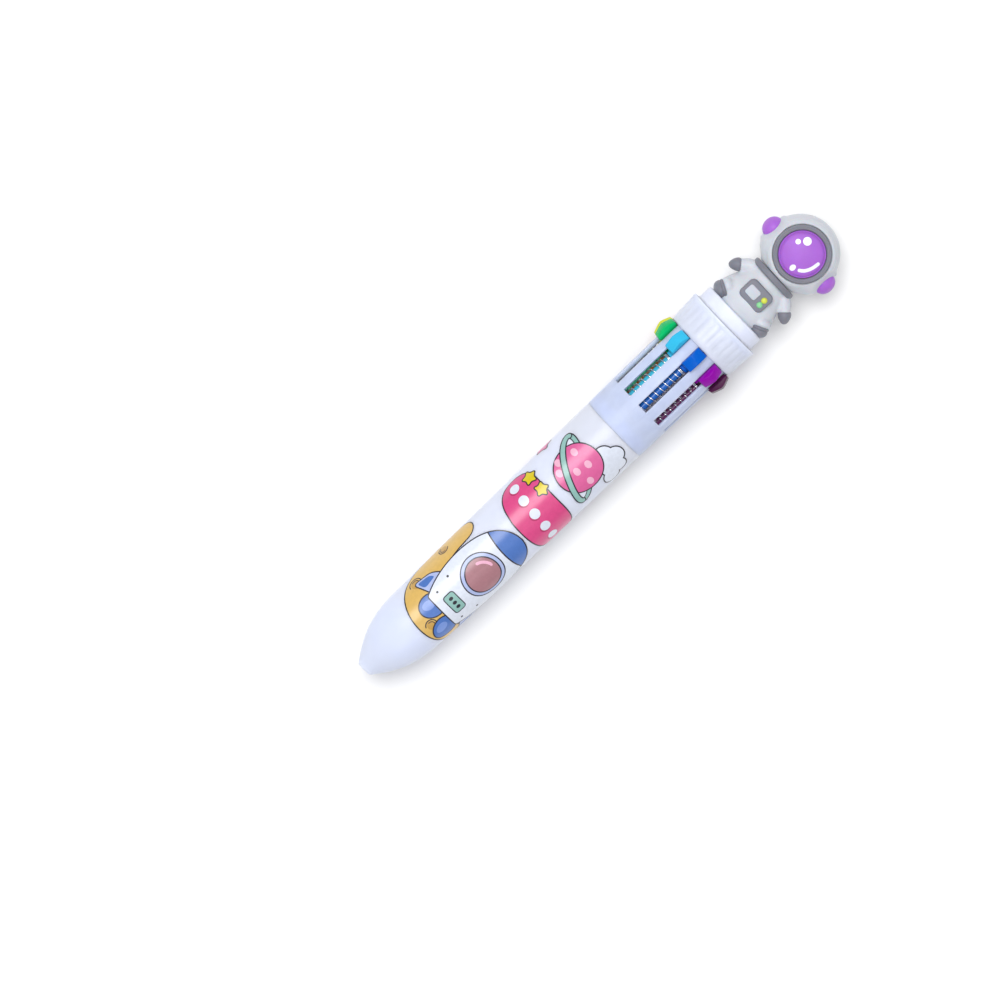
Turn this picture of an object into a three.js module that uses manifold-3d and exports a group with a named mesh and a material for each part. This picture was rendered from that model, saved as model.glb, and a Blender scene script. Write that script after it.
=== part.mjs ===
// Multicolour click pen: ten ball refills in one barrel, each pushed forward by its own coloured
// slider against a return spring, with a soft moulded spaceman figure as the topper.
//
// Millimetres. The pen is built upright in its own frame, with Y running from the nose end to the
// topper, +Z the way the figure faces and X across. The last lines lay it down: nose towards -X,
// topper towards +X, the figure facing +Z, and the origin at the bottom centre of its box.
import * as THREE from 'three';
import { mergeVertices } from 'three/addons/utils/BufferGeometryUtils.js';
import Module from 'manifold-3d';

const wasm = await Module();
wasm.setup();

// ---- driving dimensions ----

const SLIDER_COUNT = 10;
const SECTOR = (2 * Math.PI) / SLIDER_COUNT;
const FIRST_SLIDER = THREE.MathUtils.degToRad(4); // the first slider, from the way the figure faces
const BARREL_SIDES = 36; // facets round the barrel
const CLEARANCE = 0.3; // round a piece that sits in a pocket
const FIT = 0.25; // round a neck in its socket, and inside the collar

// stations along the pen, from the nose end
const NOSE_CURVE_END = 18.4;
const NECK_START = 70.6;
const SEAM = 79;
const SEAM_GAP = 0.15;
const SHOULDER = 82.3; // inside the upper barrel, under the spring seat
const SPRING_SEAT_TOP = 84.2;
const SLOT_START = 87.1;
const CARRIAGE_START = 100;
const PIVOT = 99; // where a refill hangs from its slider
const KNOB_START = 100.6;
const KNOB_RIDGE = 103.4;
const KNOB_END = 106;
const CARRIAGE_END = 108.6;
const COLLAR_START = 106.3;
const COLLAR_END = 113.75;
const BARREL_END = 112;
const PLUG_START = 113.9;
const PLUG_TOP = 117.3;
const BOSS_TOP = 118.2;
const STUB_START = 109; // the lower end of the plug, inside the barrel
const PEG_SOCKET = 112; // the floor of the socket for the figure's peg

// radii
const NOSE_END_RADIUS = 1.8;
const NOSE_HOLE_RADIUS = 1.3;
const SEAM_RADIUS = 8.33;
const BARREL_RADIUS = 8.5;
const NOSE_RADIUS = 7.75; // where the nose curve meets the barrel
const UPPER_BORE = 7.8;
const LOWER_BORE = 6.9;
const NECK_RADIUS = 7.35;
const NECK_BORE = 6.75;
const COLLAR_RADIUS = 9.56;
const PLUG_RADIUS = 8.27;
const SEAT_RADIUS = 7.5; // of the spring seat
const STUB_RADIUS = 5.9; // of the plug inside the collar
const CORE_RADIUS = 3.2;
const GROOVE_RADIUS = 2.9; // of the guide core in its grooves
const SLIDER_RING = 5.95; // from the pen's axis to a refill's top end
const SEAT_RING = 5.57; // and to its hole in the spring seat
const TIP_RING = 3.4; // and to its writing tip at rest

// slider
const SLOT_WIDTH = 2.5;
const BLADE_WIDTH = 2;
const KNOB_WIDTH = 3.1;
const KNOB_TOP_WIDTH = 2.4;
const KNOB_BASE = 8.8; // from the axis to the knob's underside
const KNOB_EAVES = 9.55;
const KNOB_REACH = 10.5; // to its ridge
const CARRIAGE_REACH = 7; // from the axis to the carriage's outer face
const CARRIAGE_FOOT = 4.2; // and to its inner face
const LATCH_REACH = 3.7; // and to its latching nose
const CUP_RADIUS = 1.4; // of the cup that holds the spring

// refill and spring
const TIP = 8.2; // station of the writing tips at rest
const TUBE_RADIUS = 0.95;
const TUBE_BORE = 0.68;
const POINT_LENGTH = 10.6;
const COIL_RADIUS = 1.31; // to the middle of the wire
const WIRE_RADIUS = 0.14;
const COIL_TURNS = 8;
const REFILL_HOLE = 1.12; // radius of a refill's hole in the spring seat

// figure, measured from the top of the plug
const FIGURE_LEAN = THREE.MathUtils.degToRad(1.4);
const BODY_DEPTH = 0.62; // of the body's width
const BODY_TOP = 10.4;
const PEG_RADIUS = 2.3;
const FOOT = { radii: [2.05, 1.5, 3.4], turn: 0.35, place: [6.05, 1.55, 1.2] };
const HAND = { radii: [1.9, 1.45, 2], turn: 0.9, place: [8.15, 7.6, 0.4] };
const ARM = { radii: [3.5, 1.9, 2.3], turn: -0.72, place: [6.3, 8.7, 0] };
const PANEL = { width: 7, height: 5.2, depth: 1.6, corner: 1.1, up: 6.05, forward: 3.3 };
const NECK_RING = { low: 10.7, high: 12.3, radius: 6.1, chamfer: 0.4, depthShare: 0.8 };
const HELMET_CENTRE = 19.9;
const HELMET_RADIUS = 9.05;
const HELMET_DEPTH = 8; // half of it
const NECK_CUT = 12.6; // where the helmet is cut flat on the neck ring
const FACE_RISE = 0.2; // of the visor above the helmet's middle
const RIM_OUTER = 6.68;
const RIM_INNER = 5.52;
const RECESS_FLOOR = 4;
const POD = { start: 7.6, end: 10.95, radius: 2.5, drop: 0.6 }; // drop: below the helmet's middle

const SLIDERS = [
  { name: 'blue', colour: 0x0b5fd8 },
  { name: 'purple', colour: 0x9a1fb0 },
  { name: 'maroon', colour: 0x4a1438 },
  { name: 'black', colour: 0x1c1c20 },
  { name: 'red', colour: 0xd8202c },
  { name: 'pink', colour: 0xf06aa8 },
  { name: 'orange', colour: 0xf58220 },
  { name: 'yellow', colour: 0xe8dc3c },
  { name: 'green', colour: 0x08c060 },
  { name: 'cyan', colour: 0x2cc8f0 },
];

// ---- materials ----

function plastic(colour, roughness = 0.4) {
  return new THREE.MeshStandardMaterial({ color: colour, roughness, metalness: 0 });
}

function metal(colour, roughness = 0.3) {
  return new THREE.MeshStandardMaterial({ color: colour, roughness, metalness: 1 });
}

const COLOURS = {
  barrel: 0xe4e6f6,
  clearBarrel: 0xd8e0f6,
  plug: 0xf0f4fc,
  core: 0xeeeef2,
  suit: 0xd6d8e0,
  trim: 0x85878f,
  visor: 0xb070e0,
  steel: 0xc8ccd2,
  point: 0xd0c8b4,
};

// ---- making and joining solids ----

function mesh(name, geometry, material) {
  const made = new THREE.Mesh(geometry, material);
  made.name = name;
  return made;
}

// A three.js geometry as a manifold-3d solid.
function solid(geometry) {
  const bare = geometry.clone();
  bare.deleteAttribute('normal');
  bare.deleteAttribute('uv');
  const merged = mergeVertices(bare, 1e-4);
  return new wasm.Manifold(new wasm.Mesh({
    numProp: 3,
    vertProperties: new Float32Array(merged.attributes.position.array),
    triVerts: new Uint32Array(merged.index.array),
  }));
}

// And back again.
function geometryOf(made) {
  const data = made.getMesh();
  const geometry = new THREE.BufferGeometry();
  geometry.setAttribute('position', new THREE.BufferAttribute(data.vertProperties, 3));
  geometry.setIndex(new THREE.BufferAttribute(data.triVerts, 1));
  geometry.computeVertexNormals();
  return geometry;
}

// Turns an outline of [radius, station] pairs round Y. It runs up the outside and down the inside.
function turned(outline, sides) {
  const points = outline.map(([radius, station]) => new THREE.Vector2(radius, station));
  return new THREE.LatheGeometry(points, sides);
}

// The same for a ring, whose outline closes on itself.
function turnedRing(outline, sides) {
  return turned([...outline, outline[0]], sides);
}

// Points round a circle in the plane of a shape.
function circlePoints(radius, sides, centreX = 0, centreY = 0) {
  return Array.from({ length: sides }, (_, i) => {
    const angle = (2 * Math.PI * i) / sides;
    return new THREE.Vector2(centreX + radius * Math.cos(angle), centreY + radius * Math.sin(angle));
  });
}

// A flat shape of [distance from the axis, station] pairs, given a width across the slider.
function blade(outline, width) {
  const shape = new THREE.Shape(outline.map(([reach, station]) => new THREE.Vector2(reach, station)));
  return new THREE.ExtrudeGeometry(shape, { depth: width, bevelEnabled: false })
    .translate(0, 0, -width / 2)
    .rotateY(-Math.PI / 2);
}

function ellipsoid(rx, ry, rz, columns = 12, rows = 7) {
  return new THREE.SphereGeometry(1, columns, rows).scale(rx, ry, rz);
}

// ---- barrel ----

// The outer curve of the nose, as far as the barrel proper.
const noseCurve = new THREE.CubicBezierCurve(
  new THREE.Vector2(NOSE_END_RADIUS, 0),
  new THREE.Vector2(6.52, 6.15),
  new THREE.Vector2(7.82, 10.6),
  new THREE.Vector2(NOSE_RADIUS, NOSE_CURVE_END),
);

// The barrel's slight taper from there to the seam.
const barrelCurve = new THREE.QuadraticBezierCurve(
  new THREE.Vector2(NOSE_RADIUS, NOSE_CURVE_END),
  new THREE.Vector2(8.02, 26),
  new THREE.Vector2(SEAM_RADIUS, SEAM),
);

// The inside: a short cone at the mouth that guides a tip into the hole, then along the wall.
const noseBore = new THREE.CubicBezierCurve(
  new THREE.Vector2(1.85, 1.6),
  new THREE.Vector2(5.2, 5.6),
  new THREE.Vector2(6.6, 10),
  new THREE.Vector2(LOWER_BORE, 23),
);

const pairs = (curve, pieces) => curve.getPoints(pieces).map((p) => [p.x, p.y]);

function lowerBarrel() {
  const outside = [...pairs(noseCurve, 9), ...pairs(barrelCurve, 4).slice(1)];
  const socket = NECK_RADIUS + FIT;
  const inside = [
    [socket, SEAM],
    [socket, NECK_START - CLEARANCE],
    [LOWER_BORE, NECK_START - CLEARANCE],
    ...pairs(noseBore, 6).reverse(),
    [NOSE_HOLE_RADIUS, 0],
  ];
  return turnedRing([...outside, ...inside], BARREL_SIDES);
}

// One box for each slot, from its nose end out through the top of the barrel.
function slotCutters() {
  const length = BARREL_END + 1 - SLOT_START;
  const slot = new THREE.BoxGeometry(SLOT_WIDTH, length, 4)
    .translate(0, SLOT_START + length / 2, BARREL_RADIUS);
  return Array.from({ length: SLIDER_COUNT }, (_, i) => solid(slot.clone().rotateY(sliderAngle(i))));
}

function upperBarrel() {
  const shell = solid(turnedRing([
    [NECK_BORE, NECK_START],
    [NECK_RADIUS, NECK_START],
    [NECK_RADIUS, SEAM + SEAM_GAP],
    [SEAM_RADIUS, SEAM + SEAM_GAP],
    [8.4, SEAM + 3.5],
    [BARREL_RADIUS, SEAM + 13],
    [BARREL_RADIUS, BARREL_END],
    [UPPER_BORE, BARREL_END],
    [UPPER_BORE, SHOULDER],
    [NECK_BORE, SHOULDER],
  ], BARREL_SIDES));
  return geometryOf(slotCutters().reduce((rest, slot) => rest.subtract(slot), shell));
}

function collar() {
  const bore = BARREL_RADIUS + FIT;
  const inner = STUB_RADIUS + CLEARANCE;
  return turnedRing([
    [bore, COLLAR_START],
    [8.9, COLLAR_START],
    [9.06, COLLAR_START + 0.45],
    [9.18, COLLAR_START + 1.7],
    [9.42, COLLAR_END - 1.4],
    [COLLAR_RADIUS, COLLAR_END - 0.6],
    [COLLAR_RADIUS, COLLAR_END - 0.15],
    [9.4, COLLAR_END],
    [inner, COLLAR_END],
    [inner, BARREL_END + CLEARANCE],
    [bore, BARREL_END + CLEARANCE],
  ], BARREL_SIDES);
}

// Closes the top of the barrel, with a low boss and a socket for the figure's peg.
function topPlug() {
  return turned([
    [0, STUB_START],
    [3.8, STUB_START],
    [STUB_RADIUS, STUB_START + 0.6],
    [STUB_RADIUS, PLUG_START],
    [PLUG_RADIUS, PLUG_START],
    [PLUG_RADIUS, PLUG_TOP - 0.5],
    [PLUG_RADIUS - 0.35, PLUG_TOP],
    [4, PLUG_TOP],
    [3.6, BOSS_TOP],
    [PEG_RADIUS + CLEARANCE, BOSS_TOP],
    [PEG_RADIUS + CLEARANCE, PEG_SOCKET],
    [0, PEG_SOCKET],
  ], BARREL_SIDES);
}

// ---- inside the upper barrel ----

// A disc that the springs stand on, with a hole for each refill.
function springSeat() {
  const holeSides = 10;
  const holeRadius = REFILL_HOLE / Math.cos(Math.PI / holeSides);
  const disc = new THREE.Shape(circlePoints(SEAT_RADIUS, 30));
  for (let i = 0; i < SLIDER_COUNT; i += 1) {
    const angle = sliderAngle(i);
    const x = SEAT_RING * Math.sin(angle);
    const y = -SEAT_RING * Math.cos(angle);
    disc.holes.push(new THREE.Path(circlePoints(holeRadius, holeSides, x, y)));
  }
  const thickness = SPRING_SEAT_TOP - SHOULDER - 0.2;
  return new THREE.ExtrudeGeometry(disc, { depth: thickness, bevelEnabled: false })
    .rotateX(-Math.PI / 2)
    .translate(0, SPRING_SEAT_TOP - thickness, 0);
}

// The fluted post between the sliders, with a groove in front of each one.
function guideCore() {
  const outline = [];
  for (let i = 0; i < SLIDER_COUNT; i += 1) {
    for (const [share, radius] of [[-0.25, GROOVE_RADIUS], [0.25, GROOVE_RADIUS], [0.5, CORE_RADIUS]]) {
      const angle = sliderAngle(i) + share * SECTOR;
      outline.push(new THREE.Vector2(radius * Math.sin(angle), -radius * Math.cos(angle)));
    }
  }
  const start = SPRING_SEAT_TOP + CLEARANCE;
  const length = STUB_START - CLEARANCE - start;
  return new THREE.ExtrudeGeometry(new THREE.Shape(outline), { depth: length, bevelEnabled: false })
    .rotateX(-Math.PI / 2)
    .translate(0, start, 0);
}

// ---- one slider with its spring and refill, built on the +Z side of the axis ----

function sliderAngle(index) {
  return FIRST_SLIDER + index * SECTOR;
}

// The knob is a roof across the pen, narrower at its ridge than at its base.
function knob() {
  const roof = solid(blade([
    [KNOB_BASE, KNOB_START],
    [KNOB_EAVES, KNOB_START + 0.15],
    [KNOB_REACH, KNOB_RIDGE],
    [KNOB_EAVES, KNOB_END - 0.15],
    [KNOB_BASE, KNOB_END],
  ], KNOB_WIDTH));
  const taper = new THREE.Shape([
    new THREE.Vector2(-KNOB_WIDTH / 2, KNOB_BASE - 1),
    new THREE.Vector2(KNOB_WIDTH / 2, KNOB_BASE - 1),
    new THREE.Vector2(KNOB_WIDTH / 2, KNOB_BASE + 0.4),
    new THREE.Vector2(KNOB_TOP_WIDTH / 2, KNOB_REACH),
    new THREE.Vector2(-KNOB_TOP_WIDTH / 2, KNOB_REACH),
    new THREE.Vector2(-KNOB_WIDTH / 2, KNOB_BASE + 0.4),
  ]);
  const length = KNOB_END - KNOB_START + 2;
  const sides = new THREE.ExtrudeGeometry(taper, { depth: length, bevelEnabled: false })
    .rotateX(Math.PI / 2)
    .translate(0, KNOB_END + 1, 0);
  return roof.intersect(solid(sides));
}

// Knob, blade through the slot, carriage with its latching nose, spring cup and refill peg.
function slider() {
  const bladeStart = KNOB_START + 0.3;
  const bladeEnd = KNOB_END - 0.3;
  const bladeTop = KNOB_BASE + 0.3;
  const carriage = blade([
    [CARRIAGE_FOOT, CARRIAGE_START],
    [CARRIAGE_REACH, CARRIAGE_START],
    [CARRIAGE_REACH, bladeStart],
    [bladeTop, bladeStart],
    [bladeTop, bladeEnd],
    [CARRIAGE_REACH, bladeEnd],
    [CARRIAGE_REACH, CARRIAGE_END],
    [5.4, CARRIAGE_END],
    [5, bladeEnd + 0.7],
    [LATCH_REACH, bladeEnd - 0.3],
    [LATCH_REACH, KNOB_RIDGE + 0.4],
    [CARRIAGE_FOOT, KNOB_RIDGE - 0.4],
  ], BLADE_WIDTH);
  const cup = new THREE.CylinderGeometry(CUP_RADIUS, CUP_RADIUS, 1.2, 12)
    .translate(0, CARRIAGE_START + 0.4, SLIDER_RING);
  const peg = new THREE.CylinderGeometry(0.5, 0.38, 3.4, 8).translate(0, CARRIAGE_START - 1.5, SLIDER_RING);
  return geometryOf(knob().add(solid(carriage)).add(solid(cup)).add(solid(peg)));
}

// A helix down the refill's axis, from the slider's cup to the spring seat.
class Coil extends THREE.Curve {
  constructor(from, to, turns) {
    super();
    this.from = from;
    this.to = to;
    this.turns = turns;
  }

  getPoint(share, target = new THREE.Vector3()) {
    const angle = 2 * Math.PI * this.turns * share;
    const along = THREE.MathUtils.lerp(this.from, this.to, share);
    return target.set(COIL_RADIUS * Math.cos(angle), along, COIL_RADIUS * Math.sin(angle));
  }
}

function spring() {
  const coil = new Coil(SPRING_SEAT_TOP + 0.5 - PIVOT, 0.45, COIL_TURNS);
  const wire = new THREE.Shape(circlePoints(WIRE_RADIUS, 3));
  return new THREE.ExtrudeGeometry(wire, { extrudePath: coil, steps: COIL_TURNS * 7 });
}

// A refill hangs from its pivot towards -Y.
function refillTube(length) {
  const bottom = POINT_LENGTH + 0.2 - length;
  return turnedRing([
    [TUBE_BORE, bottom],
    [TUBE_RADIUS, bottom],
    [TUBE_RADIUS, 0.4],
    [TUBE_BORE, 0.4],
  ], 10);
}

function refillPoint(length) {
  return turned([
    [0, 0],
    [0.36, 0.3],
    [0.5, 0.5],
    [0.82, 2.9],
    [TUBE_RADIUS, 4.4],
    [TUBE_RADIUS, POINT_LENGTH],
    [0.5, POINT_LENGTH],
    [0.5, POINT_LENGTH + 3],
    [0, POINT_LENGTH + 3],
  ], 8).translate(0, -length, 0);
}

function sector({ name, colour }, index) {
  const drop = PIVOT - TIP;
  const length = Math.hypot(drop, SLIDER_RING - TIP_RING);
  const refill = new THREE.Group();
  refill.position.set(0, PIVOT, SLIDER_RING);
  refill.rotation.x = Math.atan2(SLIDER_RING - TIP_RING, drop);
  refill.add(
    mesh(`${name}_spring`, spring(), metal(COLOURS.steel)),
    mesh(`${name}_refill_tube`, refillTube(length), plastic(colour, 0.25)),
    mesh(`${name}_refill_point`, refillPoint(length), metal(COLOURS.point)),
  );
  const group = new THREE.Group();
  group.rotation.y = sliderAngle(index);
  group.add(mesh(`${name}_slider`, slider(), plastic(colour, 0.25)), refill);
  return group;
}

// ---- figure on top, in a frame of its own with Y up from the plug ----

// One of a pair of rounded limbs, grown all over by extra. Left and right are mirror images: side is 1 or -1.
function limb({ radii, turn, place }, side, extra = 0) {
  const [across, up, forward] = place;
  return solid(ellipsoid(...radii.map((radius) => radius + extra))
    .rotateZ(side * turn)
    .translate(side * across, up, forward));
}

function footSolid(side, extra) {
  const ground = new THREE.BoxGeometry(30, 4, 30).translate(0, CLEARANCE - 2, 0);
  return limb(FOOT, side, extra).subtract(solid(ground));
}

function panelSolid(extra) {
  const across = PANEL.width / 2 + extra - PANEL.corner;
  const up = PANEL.height / 2 + extra - PANEL.corner;
  const shape = new THREE.Shape();
  shape.absarc(across, up, PANEL.corner, 0, Math.PI / 2);
  shape.absarc(-across, up, PANEL.corner, Math.PI / 2, Math.PI);
  shape.absarc(-across, -up, PANEL.corner, Math.PI, 1.5 * Math.PI);
  shape.absarc(across, -up, PANEL.corner, 1.5 * Math.PI, 2 * Math.PI);
  return solid(new THREE.ExtrudeGeometry(shape, {
    depth: PANEL.depth + extra,
    bevelEnabled: false,
    curveSegments: 3,
  }).translate(0, PANEL.up, PANEL.forward - extra));
}

function figureBody() {
  const torso = solid(turned([
    [0, 1.2],
    [5.4, 1.2],
    [7, 2],
    [7.65, 3],
    [7.3, 4.4],
    [6.7, 6.2],
    [6.3, 8.4],
    [6, 9.8],
    [5.4, BODY_TOP],
    [0, BODY_TOP],
  ], 24).scale(1, 1, BODY_DEPTH));
  const peg = solid(new THREE.CylinderGeometry(PEG_RADIUS, PEG_RADIUS - 0.2, 6.6, 16).translate(0, -1.4, 0));
  const aboveNeck = solid(new THREE.BoxGeometry(30, 6, 30).translate(0, BODY_TOP + 3, 0));
  let body = torso.add(peg);
  for (const side of [-1, 1]) {
    body = body.add(limb(ARM, side));
    body = body.subtract(footSolid(side, CLEARANCE)).subtract(limb(HAND, side, CLEARANCE));
  }
  return geometryOf(body.subtract(panelSolid(CLEARANCE)).subtract(aboveNeck));
}

// A band round the neck, between the body and the helmet.
function neckRing() {
  const { low, high, radius, chamfer, depthShare } = NECK_RING;
  return turned([
    [0, low],
    [radius - chamfer, low],
    [radius, low + chamfer],
    [radius, high - chamfer],
    [radius - chamfer, high],
    [0, high],
  ], 24).scale(1, 1, depthShare);
}

// A flattened ball, cut flat at the neck, with a round recess in front for the visor.
function helmet() {
  const ball = solid(ellipsoid(HELMET_RADIUS, HELMET_RADIUS, HELMET_DEPTH, 24, 14)
    .translate(0, HELMET_CENTRE, 0));
  const below = solid(new THREE.BoxGeometry(30, 10, 30).translate(0, NECK_CUT - 5, 0));
  const radius = RIM_OUTER + CLEARANCE;
  const recess = solid(new THREE.CylinderGeometry(radius, radius, 6, 28)
    .rotateX(Math.PI / 2)
    .translate(0, HELMET_CENTRE + FACE_RISE, RECESS_FLOOR + 3));
  const pods = [-1, 1].map((side) => solid(podGeometry(side, CLEARANCE)));
  return geometryOf([below, recess, ...pods].reduce((rest, piece) => rest.subtract(piece), ball));
}

function podGeometry(side, extra) {
  const radius = POD.radius + extra;
  const end = POD.end + extra;
  return turned([
    [0, POD.start - extra],
    [radius, POD.start - extra],
    [radius, POD.end - 1.75],
    [radius - 0.6, end - 0.65],
    [0.9, end - 0.1],
    [0, end],
  ], 14)
    .rotateZ(side * -Math.PI / 2)
    .translate(0, HELMET_CENTRE - POD.drop, 0);
}

function visorRim() {
  const floor = RECESS_FLOOR + CLEARANCE;
  return turnedRing([
    [RIM_INNER, floor],
    [RIM_OUTER, floor],
    [RIM_OUTER, 6.2],
    [6.5, 6.75],
    [5.95, 6.75],
    [RIM_INNER, 6.3],
  ], 28);
}

function visor() {
  const floor = RECESS_FLOOR + CLEARANCE;
  return turned([
    [0, floor],
    [RIM_INNER - 0.25, floor],
    [RIM_INNER - 0.25, 5.6],
    [4.2, 6.5],
    [2.3, 7.15],
    [0, 7.4],
  ], 24);
}

function figure() {
  const suit = plastic(COLOURS.suit, 0.6);
  const trim = plastic(COLOURS.trim, 0.6);
  const glass = plastic(COLOURS.visor, 0.3);
  const face = new THREE.Group();
  face.position.set(0, HELMET_CENTRE + FACE_RISE, 0);
  face.rotation.x = Math.PI / 2;
  face.add(mesh('figure_visor_rim', visorRim(), trim.clone()), mesh('figure_visor', visor(), glass.clone()));
  const group = new THREE.Group();
  group.position.y = PLUG_TOP;
  group.rotation.z = -FIGURE_LEAN;
  group.add(
    mesh('figure_body', figureBody(), suit.clone()),
    mesh('figure_chest_panel', geometryOf(panelSolid(0)), trim.clone()),
    mesh('figure_neck_ring', neckRing(), trim.clone()),
    mesh('figure_helmet', helmet(), suit.clone()),
    face,
  );
  for (const [hand, side] of [['left', 1], ['right', -1]]) {
    group.add(
      mesh(`figure_${hand}_foot`, geometryOf(footSolid(side, 0)), trim.clone()),
      mesh(`figure_${hand}_hand`, geometryOf(limb(HAND, side)), trim.clone()),
      mesh(`figure_${hand}_ear_pod`, podGeometry(side, 0), glass.clone()),
    );
  }
  return group;
}

// ---- the whole pen ----

const upright = new THREE.Group();
upright.add(
  mesh('lower_barrel', lowerBarrel(), plastic(COLOURS.barrel)),
  mesh('upper_barrel', upperBarrel(), plastic(COLOURS.clearBarrel)),
  mesh('collar', collar(), plastic(COLOURS.barrel)),
  mesh('top_plug', topPlug(), plastic(COLOURS.plug)),
  mesh('spring_seat', springSeat(), plastic(COLOURS.core)),
  mesh('guide_core', guideCore(), plastic(COLOURS.core)),
  ...SLIDERS.map(sector),
  figure(),
);
upright.rotation.z = -Math.PI / 2;

const pen = new THREE.Group();
pen.add(upright);
const box = new THREE.Box3().setFromObject(pen, true);
upright.position.set(-(box.min.x + box.max.x) / 2, -(box.min.y + box.max.y) / 2, -box.min.z);

export default pen;
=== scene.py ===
import math

import bmesh
import bpy
import numpy as np
from mathutils import Matrix, Vector
from mathutils.geometry import delaunay_2d_cdt


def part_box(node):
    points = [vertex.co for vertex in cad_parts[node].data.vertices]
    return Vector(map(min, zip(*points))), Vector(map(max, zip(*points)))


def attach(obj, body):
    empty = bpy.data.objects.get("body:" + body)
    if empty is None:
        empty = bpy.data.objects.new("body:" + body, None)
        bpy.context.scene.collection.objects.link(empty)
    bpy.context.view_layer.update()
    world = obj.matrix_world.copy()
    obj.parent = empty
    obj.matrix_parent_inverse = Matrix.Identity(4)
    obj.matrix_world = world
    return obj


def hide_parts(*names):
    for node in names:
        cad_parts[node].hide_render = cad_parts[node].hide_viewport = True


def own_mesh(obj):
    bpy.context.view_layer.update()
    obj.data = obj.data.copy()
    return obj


# Looks for a multicolour click pen. Sizes are in millimetres, in the pen's own frame: X across, Y from
# the nose end to the topper, Z the way the figure faces. PEN takes that frame to the row's, in metres.

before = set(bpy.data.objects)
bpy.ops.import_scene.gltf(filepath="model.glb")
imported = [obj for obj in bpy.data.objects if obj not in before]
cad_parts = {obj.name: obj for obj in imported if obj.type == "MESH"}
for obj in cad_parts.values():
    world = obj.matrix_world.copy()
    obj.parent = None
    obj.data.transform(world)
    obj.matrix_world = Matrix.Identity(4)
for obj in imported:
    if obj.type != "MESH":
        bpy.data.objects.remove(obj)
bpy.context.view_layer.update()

MM = 0.001
ROOT = "pen_body"
SIDES = ((1, "left"), (-1, "right"))  # of the figure, along +X and -X
COLOURS = {  # of each knob and of the ink in its tube
    "blue": ((0.0, 0.1, 0.53), (0.012, 0.12, 0.47)),
    "purple": ((0.265, 0.002, 0.35), (0.2, 0.04, 0.3)),
    "maroon": ((0.066, 0.005, 0.05), (0.2, 0.05, 0.17)),
    "black": ((0.012, 0.012, 0.016), (0.03, 0.03, 0.036)),
    "red": ((0.58, 0.008, 0.016), (0.6, 0.03, 0.04)),
    "pink": ((0.78, 0.12, 0.36), (0.84, 0.28, 0.48)),
    "orange": ((0.82, 0.19, 0.01), (0.84, 0.3, 0.05)),
    "yellow": ((0.62, 0.65, 0.06), (0.75, 0.7, 0.1)),
    "green": ((0.0, 0.455, 0.125), (0.12, 0.72, 0.4)),
    "cyan": ((0.035, 0.46, 0.73), (0.04, 0.44, 0.62)),
}
SECTOR = 2 * math.pi / len(COLOURS)
FIRST_SLIDER = math.radians(4)

# stations along the pen
BORE_CURVE_END = 23  # of the nose's inside
LOWER_BORE_END = 30
NECK_START = 70.6
SEAM = 79
SHOULDER = 82.3
SEAT_TOP = 84.2
SLOT_START = 87.1
PIVOT = 99  # the top end of a refill, about which it tilts
KNOB_START = 100.6
KNOB_RIDGE = 103.4
KNOB_END = 106
BARREL_END = 112
COLLAR_START = 106.3
COLLAR_END = 113.75
STUB_START = 109  # the lower end of the plug, inside the barrel
PEG_SOCKET = 112  # the floor of the socket for the figure's peg
PLUG_TOP = 117.3
BOSS_TOP = 118.2
TIP = 8.2  # of a refill's ball, at rest

# radii
NOSE_END_RADIUS = 1.8
NOSE_HOLE_RADIUS = 1.3
NOSE_CURVE_END = 18.4
SEAM_RADIUS = 8.33
BARREL_RADIUS = 8.5
LOWER_BORE = 6.9
NECK_RADIUS = 7.35
NECK_BORE = 6.75
UPPER_BORE = 7.8
COLLAR_RADIUS = 9.56
KNOB_BASE = 8.8
KNOB_EAVES = 9.6
KNOB_REACH = 10.5
KNOB_HALF_WIDTH = 1.45
KNOB_TAPER = 0.08  # of its half width, for each mm outwards
PLUG_RADIUS = 8.27
STUB_RADIUS = 5.9
SOCKET_RADIUS = 2.6
SLIDER_RING = 5.95  # from the pen's axis to a refill's top end
TIP_RING = 3.4  # and to its ball

FIT = 0.25  # round a neck in its socket, and inside the collar
ROUNDING = 0.12  # of moulded edges
SLOT_HALF_WIDTH = 1.25
SLOT_DEPTHS = (6.5, 10)  # that a slot's cutter reaches from and to
SPRING_RADIUS = 1.31
WIRE_RADIUS = 0.15
SPRING_TURNS = 12.2
CLOSED_TURNS = 1.5  # at each end of a spring
TUBE_RADIUS = 0.95
TUBE_BORE = 0.68
TUBE_LAP = 10.8  # from the ball to where the tube starts
POINT_LENGTH = 13.6

# the figure, whose stations start at the plug's top
FIGURE_LEAN = math.radians(1.4)
HELMET_CENTRE = 19.9
HELMET_RADIUS = 9.05
HELMET_DEPTH = 8
FACE_RISE = 0.2
RIM_OUTER = 6.68
RIM_INNER = 5.52
POD_DROP = 0.6  # below the helmet's middle
POD_BASE = 8.6
POD_TILT = math.radians(20)  # forward
HAND_PLACE = (7.5, 8.1, 0.35)
HAND_ANGLE = math.radians(44)
BOOT_PLACE = (6.05, 1.5, 1.7)
BOOT_ANGLE = math.radians(27)
CHEST_UP = 6.05
VOXEL = 0.24  # to which the suit and the helmet are remeshed
SMOOTHINGS = 9

# ---- frames ----

nose_low, nose_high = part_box("lower_barrel")
axis_point = (nose_low + nose_high) / 2
PEN = Matrix((
    (0, MM, 0, nose_low.x),
    (-MM, 0, 0, axis_point.y),
    (0, 0, MM, axis_point.z),
    (0, 0, 0, 1),
))
FIGURE = PEN @ Matrix.Translation((0, PLUG_TOP, 0)) @ Matrix.Rotation(-FIGURE_LEAN, 4, "Z")
FACE = FIGURE @ Matrix.Translation((0, HELMET_CENTRE + FACE_RISE, 0))


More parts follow.
